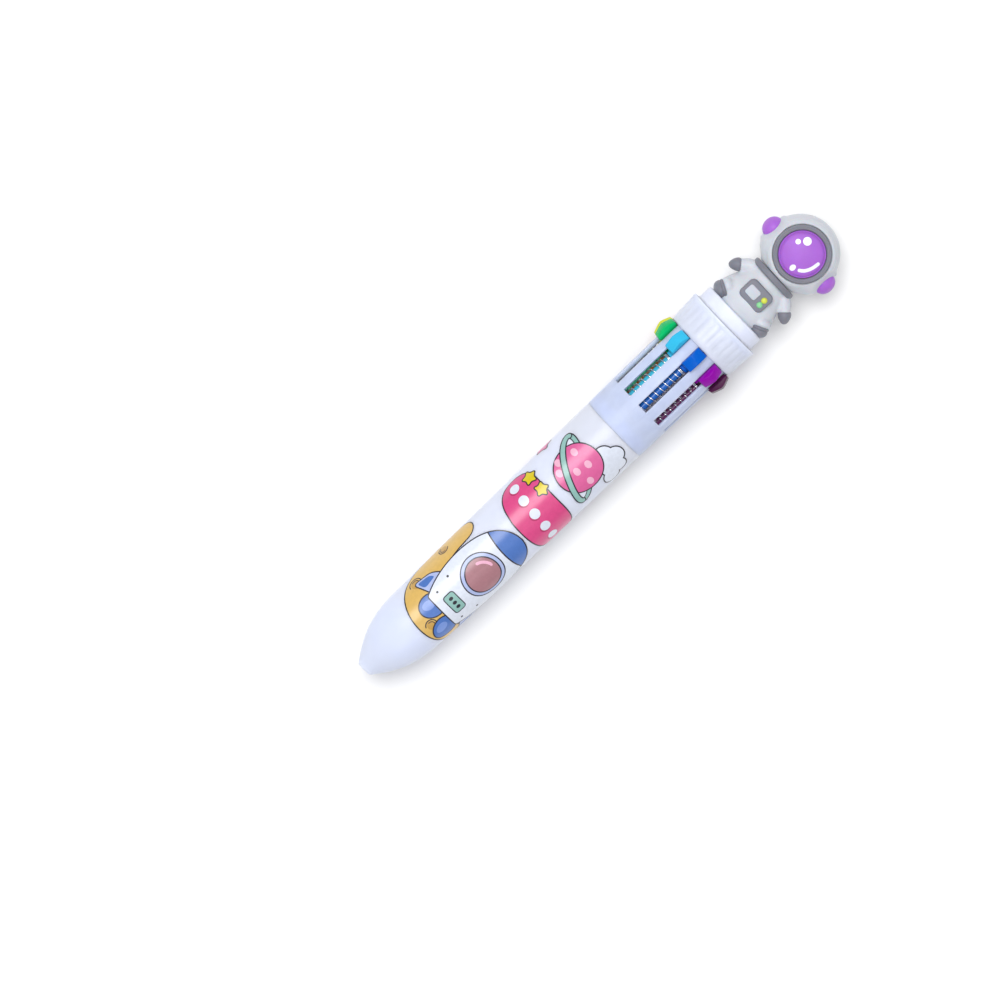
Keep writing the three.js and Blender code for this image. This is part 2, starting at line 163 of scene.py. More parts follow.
def sector_frame(index):
    """The frame of one slider, with +Z towards its knob."""
    return PEN @ Matrix.Rotation(FIRST_SLIDER + index * SECTOR, 4, "Y")


def refill_frame(index):
    """The frame of one refill, which hangs from its slider towards -Y."""
    tilt = math.atan2(SLIDER_RING - TIP_RING, PIVOT - TIP)
    hang = Matrix.Translation((0, PIVOT, SLIDER_RING)) @ Matrix.Rotation(tilt, 4, "X")
    return sector_frame(index) @ hang


# ---- materials ----


class Nodes:
    """A short way to add nodes to one material."""

    def __init__(self, name):
        self.material = bpy.data.materials.new(name)
        self.material.use_nodes = True
        self.tree = self.material.node_tree
        self.shader = self.tree.nodes["Principled BSDF"]

    def add(self, kind, **settings):
        node = self.tree.nodes.new(kind)
        for key, value in settings.items():
            if key in node.inputs:
                node.inputs[key].default_value = value
            else:
                setattr(node, key, value)
        return node

    def link(self, source, target):
        self.tree.links.new(source, target)

    def set(self, **values):
        for key, value in values.items():
            self.shader.inputs[key.replace("_", " ")].default_value = value

    def coordinates(self):
        return self.add("ShaderNodeTexCoord").outputs["Object"]

    def noise(self, per_mm, detail=3.0):
        node = self.add("ShaderNodeTexNoise", Scale=per_mm / MM, Detail=detail)
        self.link(self.coordinates(), node.inputs["Vector"])
        return node.outputs["Fac"]

    def spread(self, source, **settings):
        """A value moved from one range to another."""
        node = self.add("ShaderNodeMapRange", **{key.replace("_", " "): value for key, value in settings.items()})
        self.link(source, node.inputs["Value"])
        return node.outputs["Result"]

    def tint(self, factor, first, second):
        """Base colour that goes from one tone to another."""
        mix = self.add("ShaderNodeMix", data_type="RGBA", A=(*first, 1), B=(*second, 1))
        self.link(factor, mix.inputs["Factor"])
        self.link(mix.outputs["Result"], self.shader.inputs["Base Color"])

    def mottle(self, light, dark, per_mm):
        """Base colour that wanders a little between two tones."""
        self.tint(self.spread(self.noise(per_mm), From_Min=0.35, From_Max=0.65), dark, light)

    def grain(self, per_mm, depth_mm, detail=4.0):
        """Fine bump over the whole surface."""
        bump = self.add("ShaderNodeBump", Distance=depth_mm * MM, Strength=1.0)
        self.link(self.noise(per_mm, detail), bump.inputs["Height"])
        self.link(bump.outputs["Normal"], self.shader.inputs["Normal"])

    def worn_gloss(self, smooth, rough, per_mm):
        """Roughness that varies as handling leaves it."""
        self.link(self.spread(self.noise(per_mm), To_Min=smooth, To_Max=rough), self.shader.inputs["Roughness"])


SCATTER = (0.92, 0.96, 1.0)  # how far red, green and blue light go, as shares


def shade(colour, share):
    return tuple(c * share for c in colour)


def moulded_plastic(name, colour, smooth=0.22, rough=0.36, scatter=0.0, reach_mm=0.5, gloss=0.35):
    """Glossy injection-moulded plastic, with light scattering inside it if it is translucent."""
    made = Nodes(name)
    made.mottle(colour, shade(colour, 0.94), 0.35)
    made.worn_gloss(smooth, rough, 0.5)
    made.grain(9, 0.0025)
    made.set(Subsurface_Weight=scatter, Subsurface_Scale=reach_mm * MM, Subsurface_Radius=SCATTER, IOR=1.49,
             Specular_IOR_Level=gloss)
    return made.material


def soft_vinyl(name, colour, roughness=0.5):
    """Soft moulded vinyl: matt, slightly mottled, with a faint sheen of dust."""
    made = Nodes(name)
    made.mottle(colour, shade(colour, 0.95), 0.3)
    made.worn_gloss(roughness - 0.08, roughness + 0.12, 0.8)
    made.grain(5, 0.012)
    made.set(Subsurface_Weight=0.25, Subsurface_Scale=0.6 * MM, Sheen_Weight=0.12, Sheen_Roughness=0.4,
             Specular_IOR_Level=0.3)
    return made.material


def bright_metal(name, colour, roughness):
    """Drawn or turned metal with fine marks round it."""
    made = Nodes(name)
    made.mottle(colour, shade(colour, 0.85), 2)
    made.worn_gloss(roughness * 0.7, roughness * 1.3, 3)
    made.grain(14, 0.002)
    made.set(Metallic=1.0)
    return made.material


def print_ink(name, colour):
    """Screen-printed ink: flat, with the slight unevenness of a print pass."""
    made = Nodes(name)
    made.mottle(colour, shade(colour, 0.93), 1.2)
    made.worn_gloss(0.28, 0.4, 0.8)
    made.set(Coat_Weight=0.3, Coat_Roughness=0.2)
    return made.material


def barrel_white():
    """Milky plastic that is bluer at the nose, and whiter under the print."""
    made = Nodes("barrel_white")
    nose, body = (0.635, 0.69, 0.925), (0.665, 0.705, 0.875)
    split = made.add("ShaderNodeSeparateXYZ")
    made.link(made.coordinates(), split.inputs["Vector"])
    along = made.spread(split.outputs["X"], From_Min=nose_low.x + 12 * MM, From_Max=nose_low.x + 22 * MM)
    along.node.interpolation_type = "SMOOTHSTEP"
    made.tint(along, nose, body)
    made.worn_gloss(0.24, 0.38, 0.3)
    made.grain(7, 0.002)
    made.set(Subsurface_Weight=0.7, Subsurface_Scale=2.5 * MM, Subsurface_Radius=SCATTER, IOR=1.49,
             Specular_IOR_Level=0.35)
    return made.material


# ---- making meshes ----


def placed(name, data):
    """A new object in the scene."""
    made = bpy.data.objects.new(name, data)
    bpy.context.collection.objects.link(made)
    return made


def make(name, points, faces, place, material, body, replaced=(), slot=None, smooth=True):
    """A mesh piece from points in the frame that place gives. It rides on a CAD body."""
    mesh = bpy.data.meshes.new(name)
    mesh.from_pydata([place @ Vector(p) for p in points], [], faces)
    mesh.validate()
    if place.determinant() < 0:
        mesh.flip_normals()
    for face in mesh.polygons:
        face.use_smooth = smooth
    piece = placed(name, mesh)
    mesh.materials.append(material)
    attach(piece, body)
    if replaced:
        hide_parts(*replaced)
    return piece


def arc(centre, radius, start, end, pieces):
    """Points on a circle from angle start to angle end, in degrees."""
    angles = [math.radians(start + (end - start) * i / pieces) for i in range(pieces + 1)]
    return [(centre[0] + radius * math.cos(a), centre[1] + radius * math.sin(a)) for a in angles]


def bezier(points, pieces):
    """Points along a quadratic or cubic Bezier curve."""
    degree = len(points) - 1
    line = []
    for i in range(pieces + 1):
        t = i / pieces
        weights = [math.comb(degree, k) * t**k * (1 - t) ** (degree - k) for k in range(degree + 1)]
        line.append(tuple(sum(w * p[axis] for w, p in zip(weights, points)) for axis in (0, 1)))
    return line


def rounded(outline, radius, pieces=3, closed=True):
    """The outline with each sharp corner turned into a small curve."""
    count = len(outline)
    line = []
    for i, corner in enumerate(outline):
        here = Vector(corner)
        if not closed and i in (0, count - 1):
            line.append(tuple(here))
            continue
        before = Vector(outline[i - 1]) - here
        after = Vector(outline[(i + 1) % count]) - here
        if before.angle(-after) < math.radians(25):
            line.append(tuple(here))
            continue
        cut = min(radius, before.length * 0.45, after.length * 0.45)
        start = here + before.normalized() * cut
        end = here + after.normalized() * cut
        line += bezier([tuple(start), tuple(here), tuple(end)], pieces)
    return line


def turned(outline, sides, closed=False, flute=None):
    """Points and faces of an outline of (radius, station) pairs turned round Y. An open outline starts
    and ends on the axis. flute(angle, radius, station) adds to the radius."""
    points, faces = [], []
    for i in range(sides):
        angle = 2 * math.pi * i / sides
        for radius, station in outline:
            reach = radius + (flute(angle, radius, station) if flute else 0)
            points.append((reach * math.sin(angle), station, reach * math.cos(angle)))
    rows = len(outline)
    last = rows if closed else rows - 1
    for i in range(sides):
        here, there = i * rows, (i + 1) % sides * rows
        for j in range(last):
            k = (j + 1) % rows
            faces.append((here + j, there + j, there + k, here + k))
    return (points, faces) if closed else close_poles(points, faces, rows, sides)


def close_poles(points, faces, rows, sides):
    """Merges each end row of an open turned shape into one point."""
    first, last = len(points), len(points) + 1
    points = points + [points[0], points[rows - 1]]
    swap = {i * rows: first for i in range(sides)}
    swap.update({i * rows + rows - 1: last for i in range(sides)})
    merged = []
    for face in faces:
        ring = [swap.get(v, v) for v in face]
        ring = [v for i, v in enumerate(ring) if v != ring[i - 1]]
        merged.append(tuple(ring))
    used = sorted({v for face in merged for v in face})
    order = {v: i for i, v in enumerate(used)}
    return [points[v] for v in used], [tuple(order[v] for v in face) for face in merged]


def lathe(name, outline, place, material, body, replaced=(), slot=None, sides=128, closed=True, flute=None,
          stretch=None):
    """A turned piece."""
    points, faces = turned(outline, sides, closed, flute)
    if stretch:
        points = [tuple(c * s for c, s in zip(p, stretch)) for p in points]
    piece = make(name, points, faces, place, material, body, replaced, slot)
    modify(piece, "WEIGHTED_NORMAL", keep_sharp=False)
    return apply_modifiers(piece)


def modify(piece, kind, **settings):
    """Adds a modifier and sets it."""
    modifier = piece.modifiers.new(kind.lower(), kind)
    for key, value in settings.items():
        setattr(modifier, key, value)
    return modifier


def carve(piece, cutters):
    """Takes each cutter out of a piece. remove(cutters) comes once the piece's modifiers are applied."""
    for cutter in cutters:
        modify(piece, "BOOLEAN", object=cutter, operation="DIFFERENCE", solver="EXACT")


def remove(cutters):
    for cutter in cutters:
        bpy.data.objects.remove(cutter)


def apply_modifiers(piece):
    """Makes the modified shape the piece's own mesh."""
    bpy.context.view_layer.update()
    shown = piece.evaluated_get(bpy.context.evaluated_depsgraph_get())
    mesh = bpy.data.meshes.new_from_object(shown)
    piece.modifiers.clear()
    piece.data = mesh
    return piece


# ---- camera, light and floor ----

VIEW_ANGLE = 43.8  # of the pen's axis above the picture's horizontal
VIEW_ROLL = 3.3  # of the camera round the pen, away from straight above the figure's face
VIEW_TILT = 3.2  # of the camera towards the topper
PICTURE_WIDTH = 227.3
PEN_OFFSET = (21.7, 12.0)  # of the pen's middle from the picture's middle, right and up
LENS = 300
SENSOR = 36
SKY = 0.42  # strength of the light from all round
KEY_LIGHT = {"place": (0.5, 1.3, 4.6), "size": 3.4, "watts": 205}  # metres
FILL_LIGHT = {"place": (-2.0, -2.4, 4.2), "size": 3.2, "watts": 45}
FLOOR_EDGE = 2.5  # metres from the middle


def add_camera():
    roll, tilt, angle = (math.radians(a) for a in (VIEW_ROLL, VIEW_TILT, VIEW_ANGLE))
    towards = Vector((
        math.sin(tilt),
        math.cos(tilt) * math.sin(roll),
        math.cos(tilt) * math.cos(roll),
    ))
    along = (Vector((1, 0, 0)) - towards * towards.x).normalized()
    across = towards.cross(along)
    right = along * math.cos(angle) - across * math.sin(angle)
    up = along * math.sin(angle) + across * math.cos(angle)
    middle = Vector((0, axis_point.y, axis_point.z))
    aim = middle - (right * PEN_OFFSET[0] + up * PEN_OFFSET[1]) * MM
    data = bpy.data.cameras.new("camera")
    data.lens = LENS
    data.sensor_width = SENSOR
    data.clip_end = 20
    camera = placed("camera", data)
    camera.matrix_world = Matrix.Translation(aim + towards * (PICTURE_WIDTH * LENS / SENSOR * MM)) @ Matrix((
        (right.x, up.x, towards.x, 0),
        (right.y, up.y, towards.y, 0),
        (right.z, up.z, towards.z, 0),
        (0, 0, 0, 1),
    ))
    bpy.context.scene.camera = camera


def add_area_light(name, place, size, watts):
    data = bpy.data.lights.new(name, "AREA")
    data.shape = "DISK"
    data.size = size
    data.energy = watts
    light = placed(name, data)
    light.location = place
    light.rotation_euler = (-Vector(place)).to_track_quat("-Z", "Y").to_euler()


def add_studio():
    world = bpy.data.worlds.new("studio")
    world.use_nodes = True
    background = world.node_tree.nodes["Background"]
    background.inputs["Color"].default_value = (1, 1, 1, 1)
    background.inputs["Strength"].default_value = SKY
    bpy.context.scene.world = world
    add_area_light("key_light", **KEY_LIGHT)
    add_area_light("fill_light", **FILL_LIGHT)
    floor_material = Nodes("floor")
    floor_material.mottle((0.9, 0.9, 0.9), (0.88, 0.88, 0.88), 0.01)
    floor_material.set(Roughness=0.9)
    corners = [(x * FLOOR_EDGE, y * FLOOR_EDGE, 0) for x, y in ((-1, -1), (1, -1), (1, 1), (-1, 1))]
    mesh = bpy.data.meshes.new("floor")
    mesh.from_pydata(corners, [], [(0, 1, 2, 3)])
    mesh.materials.append(floor_material.material)
    placed("floor", mesh)
    bpy.context.scene.view_settings.view_transform = "Standard"


# ---- barrels, collar and plug ----

NOSE_CURVE = [(NOSE_END_RADIUS, 0), (6.52, 6.15), (7.82, 10.6), (7.75, NOSE_CURVE_END)]
BARREL_CURVE = [(7.75, NOSE_CURVE_END), (8.02, 26), (SEAM_RADIUS, SEAM)]
NOSE_BORE = [(1.85, 1.6), (5.2, 5.6), (6.6, 10), (LOWER_BORE, BORE_CURVE_END)]


def barrel_outside():
    return bezier(NOSE_CURVE, 40) + bezier(BARREL_CURVE, 24)[1:]


def lower_barrel(material):
    socket = NECK_RADIUS + FIT
    floor = NECK_START - 0.3
    bore = rounded([
        (SEAM_RADIUS, SEAM),
        (socket, SEAM),
        (socket, floor),
        (LOWER_BORE, floor),
        (LOWER_BORE, LOWER_BORE_END),
    ], ROUNDING, closed=False)[1:]
    mouth = list(reversed(bezier(NOSE_BORE, 20))) + [(NOSE_HOLE_RADIUS, 0.15), (NOSE_HOLE_RADIUS + 0.1, 0)]
    rim = 0.03
    outline = barrel_outside()
    outline[0:1] = bezier([(1.62, 0), (NOSE_END_RADIUS, 0), outline[1]], 4)
    outline[-1:] = bezier([(SEAM_RADIUS, SEAM - rim), (SEAM_RADIUS, SEAM), (SEAM_RADIUS - rim, SEAM)], 2)
    lathe("lower_barrel_shell", outline + bore + mouth, PEN, material, ROOT, ["lower_barrel"], "barrel_white")


def upper_barrel(material):
    """The slotted barrel. Its slots are cut out of a turned shell."""
    seam = SEAM + 0.01  # just clear of the lower barrel's end
    rim = 0.06
    outline = rounded([
        (NECK_BORE, NECK_START),
        (NECK_RADIUS, NECK_START),
        (NECK_RADIUS, seam),
        (SEAM_RADIUS - rim, seam),
        (SEAM_RADIUS, seam),
        (SEAM_RADIUS, seam + rim),
        (8.4, seam + 3.4),
        (BARREL_RADIUS, SEAM + 13),
        (BARREL_RADIUS, BARREL_END),
        (UPPER_BORE, BARREL_END),
        (UPPER_BORE, SHOULDER),
        (NECK_BORE, SHOULDER),
    ], ROUNDING)
    shell = lathe("upper_barrel_shell", outline, PEN, material, ROOT, ["upper_barrel"], "barrel_clear",
                  sides=180)
    widths, stations = (-SLOT_HALF_WIDTH, SLOT_HALF_WIDTH), (SLOT_START, BARREL_END + 1)
    points = [(x, y, z) for x in widths for y in stations for z in SLOT_DEPTHS]
    faces = [(0, 1, 3, 2), (4, 6, 7, 5), (0, 4, 5, 1), (2, 3, 7, 6), (0, 2, 6, 4), (1, 5, 7, 3)]
    cutters = [make("cutter", points, faces, sector_frame(index), material, ROOT, smooth=False)
               for index in range(len(COLOURS))]
    carve(shell, cutters)
    modify(shell, "BEVEL", width=0.13 * MM, segments=2, limit_method="ANGLE", angle_limit=math.radians(50))
    apply_modifiers(shell)
    remove(cutters)
    shell.data.shade_smooth()
    shell.data.set_sharp_from_angle(angle=math.radians(35))


def collar(material):
    """The flared ring, with faint flutes round it."""
    flutes, depth, outside = 28, 0.1, 9
    start = COLLAR_START - 0.25
    foot, waist, lip = (8.82, start), (9.16, COLLAR_START + 1.3), (9.42, COLLAR_END - 1.3)

    def flute(angle, radius, station):
        if radius < outside or not COLLAR_START + 1.2 < station < COLLAR_END - 1.2:
            return 0
        return -depth * (0.5 + 0.5 * math.cos(flutes * angle)) ** 2

    bore, inner, step = BARREL_RADIUS + FIT, STUB_RADIUS + 0.3, BARREL_END + 0.3
    outline = [(bore, start), foot]
    outline += bezier([foot, (9.08, start + 0.1), waist], 8)[1:]
    outline += bezier([waist, (9.3, COLLAR_END - 3), lip], 12)[1:]
    outline += [(9.47, COLLAR_END - 0.85), (COLLAR_RADIUS, COLLAR_END - 0.7)]
    outline += bezier([(COLLAR_RADIUS, COLLAR_END - 0.25), (COLLAR_RADIUS, COLLAR_END), (9.3, COLLAR_END)], 5)
    outline += [(inner, COLLAR_END), (inner, step), (bore, step)]
    lathe("collar_ring", outline, PEN, material, ROOT, ["collar"], "barrel_white", sides=240, flute=flute)


def top_plug(material):
    """The cap above the collar, with a stub below it and a boss and socket for the figure."""
    edge, fillet = 0.55, 0.6
    base = COLLAR_END + 0.01  # just clear of the collar
    outline = [(0, STUB_START), (3.8, STUB_START), (STUB_RADIUS, STUB_START + 0.6), (STUB_RADIUS, base)]
    outline += bezier([(PLUG_RADIUS + fillet, base), (PLUG_RADIUS, base), (PLUG_RADIUS, base + fillet)], 6)
    brim = (PLUG_RADIUS, PLUG_TOP)
    outline += bezier([(PLUG_RADIUS, PLUG_TOP - edge), brim, (PLUG_RADIUS - edge, PLUG_TOP)], 6)
    outline += bezier([(4.6, PLUG_TOP), (3.95, PLUG_TOP), (3.85, PLUG_TOP + 0.4)], 5)
    outline += bezier([(3.75, BOSS_TOP - 0.3), (3.7, BOSS_TOP), (3.3, BOSS_TOP)], 4)
    outline += [(SOCKET_RADIUS, BOSS_TOP), (SOCKET_RADIUS, PEG_SOCKET), (0, PEG_SOCKET)]
    lathe("top_plug_cap", outline, PEN, material, ROOT, ["top_plug"], "plug_white", closed=False)


# ---- sliders, springs and refills ----


def knob_shape(place):
    """A knob: a roof across the pen that narrows towards its ridge, with soft edges."""
    foot, brow = KNOB_BASE - 0.02, KNOB_REACH - 0.26
    outline = [
        (foot, KNOB_START),
        (KNOB_EAVES, KNOB_START + 0.2),
        (brow, KNOB_RIDGE - 0.95),
        (KNOB_REACH, KNOB_RIDGE),
        (brow, KNOB_RIDGE + 0.95),
        (KNOB_EAVES, KNOB_END - 0.15),
        (foot, KNOB_END),
    ]
    shape = bmesh.new()
    widths = [KNOB_HALF_WIDTH - KNOB_TAPER * (z - KNOB_BASE) for z, _ in outline]
    left, right = (
        [shape.verts.new(place @ Vector((side * width, y, z))) for width, (z, y) in zip(widths, outline)]
        for side in (-1, 1)
    )
    shape.faces.new(left)
    shape.faces.new(reversed(right))
    for i in range(len(outline)):
        j = (i + 1) % len(outline)
        shape.faces.new((left[j], left[i], right[i], right[j]))
    bmesh.ops.recalc_face_normals(shape, faces=shape.faces)
    base = {left[0], left[-1], right[0], right[-1]}
    edges = [edge for edge in shape.edges if not set(edge.verts) <= base]
    bmesh.ops.bevel(shape, geom=edges, offset=0.17 * MM, segments=3, profile=0.5, affect="EDGES")
    for face in shape.faces:
        face.smooth = True
    mesh = bpy.data.meshes.new("knob")
    shape.to_mesh(mesh)
    shape.free()
    return mesh


def slide_button(name, index, material):
    """The CAD slider with its edges rounded and its knob made anew."""
    place = sector_frame(index)
    middle = place @ Vector((0, 0, KNOB_BASE - 0.01))
    up = (place.to_3x3() @ Vector((0, 0, 1))).normalized()

    def cut(shape):
        bmesh.ops.bisect_plane(shape, geom=shape.verts[:] + shape.edges[:] + shape.faces[:], plane_co=middle,
                               plane_no=up, dist=0.001 * MM, clear_outer=True)
        bmesh.ops.holes_fill(shape, edges=[edge for edge in shape.edges if edge.is_boundary])

    piece = refined(f"{name}_slider", f"{name}_slide_button", material, f"{name}_slider_body",
                    ROUNDING, cut)
    shape = bmesh.new()
    shape.from_mesh(piece.data)
    shape.from_mesh(knob_shape(place))
    shape.to_mesh(piece.data)
    shape.free()


def refined(node, name, material, body, width_mm, cut=None):
    """A copy of a CAD piece with its edges rounded, which stands for it. cut changes it first."""
    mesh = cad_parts[node].data.copy()
    shape = bmesh.new()
    shape.from_mesh(mesh)
    bmesh.ops.remove_doubles(shape, verts=shape.verts, dist=0.002 * MM)
    bmesh.ops.dissolve_limit(shape, angle_limit=math.radians(1), verts=shape.verts, edges=shape.edges)
    if cut:
        cut(shape)
    shape.to_mesh(mesh)
    shape.free()
    mesh.materials.clear()
    mesh.materials.append(material)
    piece = placed(name, mesh)
    modify(piece, "BEVEL", width=width_mm * MM, segments=3, limit_method="ANGLE", angle_limit=math.radians(25))
    modify(piece, "WEIGHTED_NORMAL", keep_sharp=False)
    for face in mesh.polygons:
        face.use_smooth = True
    apply_modifiers(piece)
    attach(piece, body)
    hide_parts(node)
    return piece


def helix(radius, wire, start, end, turns, closed_turns, rows_per_turn=26, wire_sides=8):
    """A coil of round wire down -Y, with close turns at each end."""
    count = int(turns * rows_per_turn)
    closed_share = closed_turns / turns
    tight = 2.1 * wire * closed_turns

    def depth(share):
        if share < closed_share:
            return tight * share / closed_share
        if share > 1 - closed_share:
            return (start - end) - tight * (1 - share) / closed_share
        open_share = (share - closed_share) / (1 - 2 * closed_share)
        return tight + (start - end - 2 * tight) * open_share

    points, faces = [], []
    for i in range(count + 1):
        share = i / count
        angle = 2 * math.pi * turns * share
        out = Vector((math.cos(angle), 0, math.sin(angle)))
        middle = out * radius + Vector((0, start - depth(share), 0))
        for j in range(wire_sides):
            turn = 2 * math.pi * j / wire_sides
            points.append(middle + out * (wire * math.cos(turn)) + Vector((0, wire * math.sin(turn), 0)))
    for i in range(count):
        for j in range(wire_sides):
            k = (j + 1) % wire_sides
            a, b = i * wire_sides, (i + 1) * wire_sides
            faces.append((a + j, a + k, b + k, b + j))
    faces.append(tuple(reversed(range(wire_sides))))
    faces.append(tuple(range(count * wire_sides, (count + 1) * wire_sides)))
    return points, faces


def spring(name, place, steel):
    """A return spring, made at rest. On the pen it shortens as its slider travels."""
    start, end = 0.6, SEAT_TOP + 0.2 - PIVOT
    points, faces = helix(SPRING_RADIUS, WIRE_RADIUS, start, end, SPRING_TURNS, CLOSED_TURNS)
    piece = make(f"{name}_return_spring", points, faces, place, steel, ROOT, [f"{name}_spring"], "spring_steel")
    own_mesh(piece)


def refill(name, place, ink, metal):
    """An ink tube, and the point with its ball, cone and socket."""
    body = f"{name}_refill_body"
    length = math.hypot(PIVOT - TIP, SLIDER_RING - TIP_RING)
    bottom, top = TUBE_LAP - length, 0.4
    tube = rounded([(TUBE_BORE, bottom), (TUBE_RADIUS, bottom), (TUBE_RADIUS, top), (TUBE_BORE, top)], 0.07)
    lathe(f"{name}_ink_tube", tube, place, ink, body, [f"{name}_refill_tube"], f"{name}_plastic", sides=40)
    tip = arc((0, 0.34), 0.34, -90, -10, 8)
    cone = rounded([(0.335, 0.28), (0.5, 0.5), (0.8, 2.9), (0.83, 4.2), (TUBE_RADIUS, 4.5), (TUBE_RADIUS, 6),
                    (0.9, 6.1), (0.9, 6.4), (TUBE_RADIUS, 6.5), (TUBE_RADIUS, 10.6), (0.5, 10.6),
                    (0.5, POINT_LENGTH)], 0.06, closed=False)
    outline = [(r, y - length) for r, y in tip + cone + [(0, POINT_LENGTH)]]
    lathe(f"{name}_writing_point", outline, place, metal, body, [f"{name}_refill_point"], "point_metal",
          sides=40, closed=False)


def add_sectors():
    steel = bright_metal("spring_steel", (0.95, 0.95, 0.96), 0.2)
    nickel = bright_metal("point_metal", (0.66, 0.62, 0.53), 0.2)
    for index, (name, (colour, ink_colour)) in enumerate(COLOURS.items()):
        slide_button(name, index, moulded_plastic(f"{name}_plastic", colour, 0.22, 0.32, gloss=0.13))
        ink = moulded_plastic(f"{name}_ink_tube", ink_colour, 0.12, 0.2)
        spring(name, refill_frame(index), steel)
        refill(name, refill_frame(index), ink, nickel)


# ---- figure ----


def paint(code):
    """A colour written as six hex digits, in the linear values that a shader takes."""
    shares = [int(code[i:i + 2], 16) / 255 for i in (0, 2, 4)]
    return tuple(c / 12.92 if c <= 0.04045 else ((c + 0.055) / 1.055) ** 2.4 for c in shares)


def turned_block(outline, place, sides=96):
    """Points and faces of an open outline turned in the frame that place gives."""
    points, faces = turned(outline, sides)
    return [place @ Vector(p) for p in points], faces


def ball(centre, radii, turn=0.0, sides=56):
    """Points and faces of an ellipsoid, turned about Z."""
    place = Matrix.Translation(centre) @ Matrix.Rotation(turn, 4, "Z") @ Matrix.Diagonal((*radii, 1))
    rows = 28
    outline = [(math.cos(a), math.sin(a)) for a in (math.pi * (i / rows - 0.5) for i in range(rows + 1))]
    outline[0], outline[-1] = (0, -1), (0, 1)
    return turned_block(outline, place, sides)


def drum(radius, low, high, place):
    """Points and faces of a plain cylinder, used to cut or fill."""
    return turned_block([(0, low), (radius, low), (radius, high), (0, high)], place)


def joined(shapes):
    """Several shapes as one list of points and faces."""
    points, faces = [], []
    for more_points, more_faces in shapes:
        start = len(points)
        points += more_points
        faces += [tuple(v + start for v in face) for face in more_faces]
    return points, faces


def moulded(name, shapes, cuts, material, replaced, slot):
    """Shapes melted into one soft moulding, with the cuts taken out of it."""
    piece = make(name, *joined(shapes), FIGURE, material, ROOT, replaced, slot)
    modify(piece, "REMESH", mode="VOXEL", voxel_size=VOXEL * MM)
    cutters = [make("cutter", *cut, FIGURE, material, ROOT) for cut in cuts]
    carve(piece, cutters)
    modify(piece, "REMESH", mode="VOXEL", voxel_size=VOXEL * MM)
    modify(piece, "SMOOTH", factor=0.5, iterations=SMOOTHINGS)
    apply_modifiers(piece)
    remove(cutters)
    piece.data.shade_smooth()
    return piece


def pointing(place, side, angle):
    """A frame at a place on one side, whose +Y points down and out at an angle from straight down."""
    x, y, z = place
    return Matrix.Translation((side * x, y, z)) @ Matrix.Rotation(math.pi + side * angle, 4, "Z")


def hand_frame(side):
    """The frame of one mitten, from the middle of its cuff."""
    return pointing(HAND_PLACE, side, HAND_ANGLE)


def pod_frame(side, tilt=POD_TILT):
    """The frame of one ear pod, from the middle of its base, with +Y out of the helmet."""
    base = Matrix.Rotation(-side * math.pi / 2, 4, "Z") @ Matrix.Translation((0, POD_BASE, 0))
    return Matrix.Translation((0, HELMET_CENTRE - POD_DROP, 0)) @ base @ Matrix.Rotation(tilt, 4, "X")


def figure_body(material):
    torso = [(0, -0.4), (5.8, -0.4)]
    torso += bezier([(5.8, -0.4), (7.3, 0.1), (7.75, 2.9)], 8)[1:]
    torso += bezier([(7.75, 2.9), (7.35, 5), (6.5, 6.8)], 8)[1:]
    torso += bezier([(6.5, 6.8), (5.9, 9), (5.3, 10.9)], 8)[1:] + [(0, 10.9)]
    points, faces = turned(torso, 72)
    depths = [0.62 + 0.22 * max(0, 1 - y / 3) ** 1.5 for _, y, _ in points]  # deeper at the plug
    shapes = [([Vector((x, y, z * depth)) for (x, y, z), depth in zip(points, depths)], faces)]
    shapes.append(drum(2.3, -4.2, 2, Matrix()))
    for side in (-1, 1):
        shapes.append(ball((side * 5.2, 9.9, 0), (2.1, 1.6, 2.3), -side * 0.8))
        shapes.append(ball((side * 6.2, 9.2, 0.1), (2.3, 1.62, 2.1), -side * 0.8))
        shapes.append(ball((side * 6.9, 8.5, 0.3), (2.0, 1.55, 1.9), -side * 0.8))
        shapes.append(ball((side * 5.7, 2.7, 1.0), (2.25, 1.9, 3.35), side * 0.45))
    socket_ring = [(SOCKET_RADIUS, -1), (3.95, -1), (3.95, 1.2), (SOCKET_RADIUS, 1.2)]
    cuts = [turned(socket_ring, 96, True)] + [drum(1.8, 0, 3.5, hand_frame(side)) for side in (-1, 1)]
    moulded("figure_suit", shapes, cuts, material, ["figure_body"], "suit_rubber")


def figure_limbs(material):
    boot = [(0, -0.6)] + bezier([(1.7, -0.6), (2.28, -0.6), (2.3, -0.25)], 5)
    boot += bezier([(2.3, -0.2), (2.3, 0.1), (2.1, 0.12)], 4)
    boot += bezier([(2.1, 0.16), (2.26, 0.2), (2.2, 0.7)], 4)
    boot += bezier([(2.2, 0.7), (2.0, 2.05), (0, 2.1)], 10)[1:]
    hand = [(0, -0.4), (1.2, -0.4)] + bezier([(1.44, -0.15), (1.5, 0), (1.56, 0.15)], 4)
    hand += bezier([(1.56, 0.15), (1.7, 0.95), (0.9, 2.1)], 8)[1:]
    hand += bezier([(0.9, 2.1), (0.5, 2.6), (0, 2.6)], 6)[1:]
    for side, name in SIDES:
        lathe(f"{name}_boot", boot, FIGURE @ pointing(BOOT_PLACE, side, BOOT_ANGLE), material, ROOT,
              [f"figure_{name}_foot"], "trim_rubber", sides=72, closed=False, stretch=(1, 1, 1.45))
        lathe(f"{name}_mitten", hand, FIGURE @ hand_frame(side), material, ROOT,
              [f"figure_{name}_hand"], "trim_rubber", sides=72, closed=False, stretch=(1, 1, 1.22))


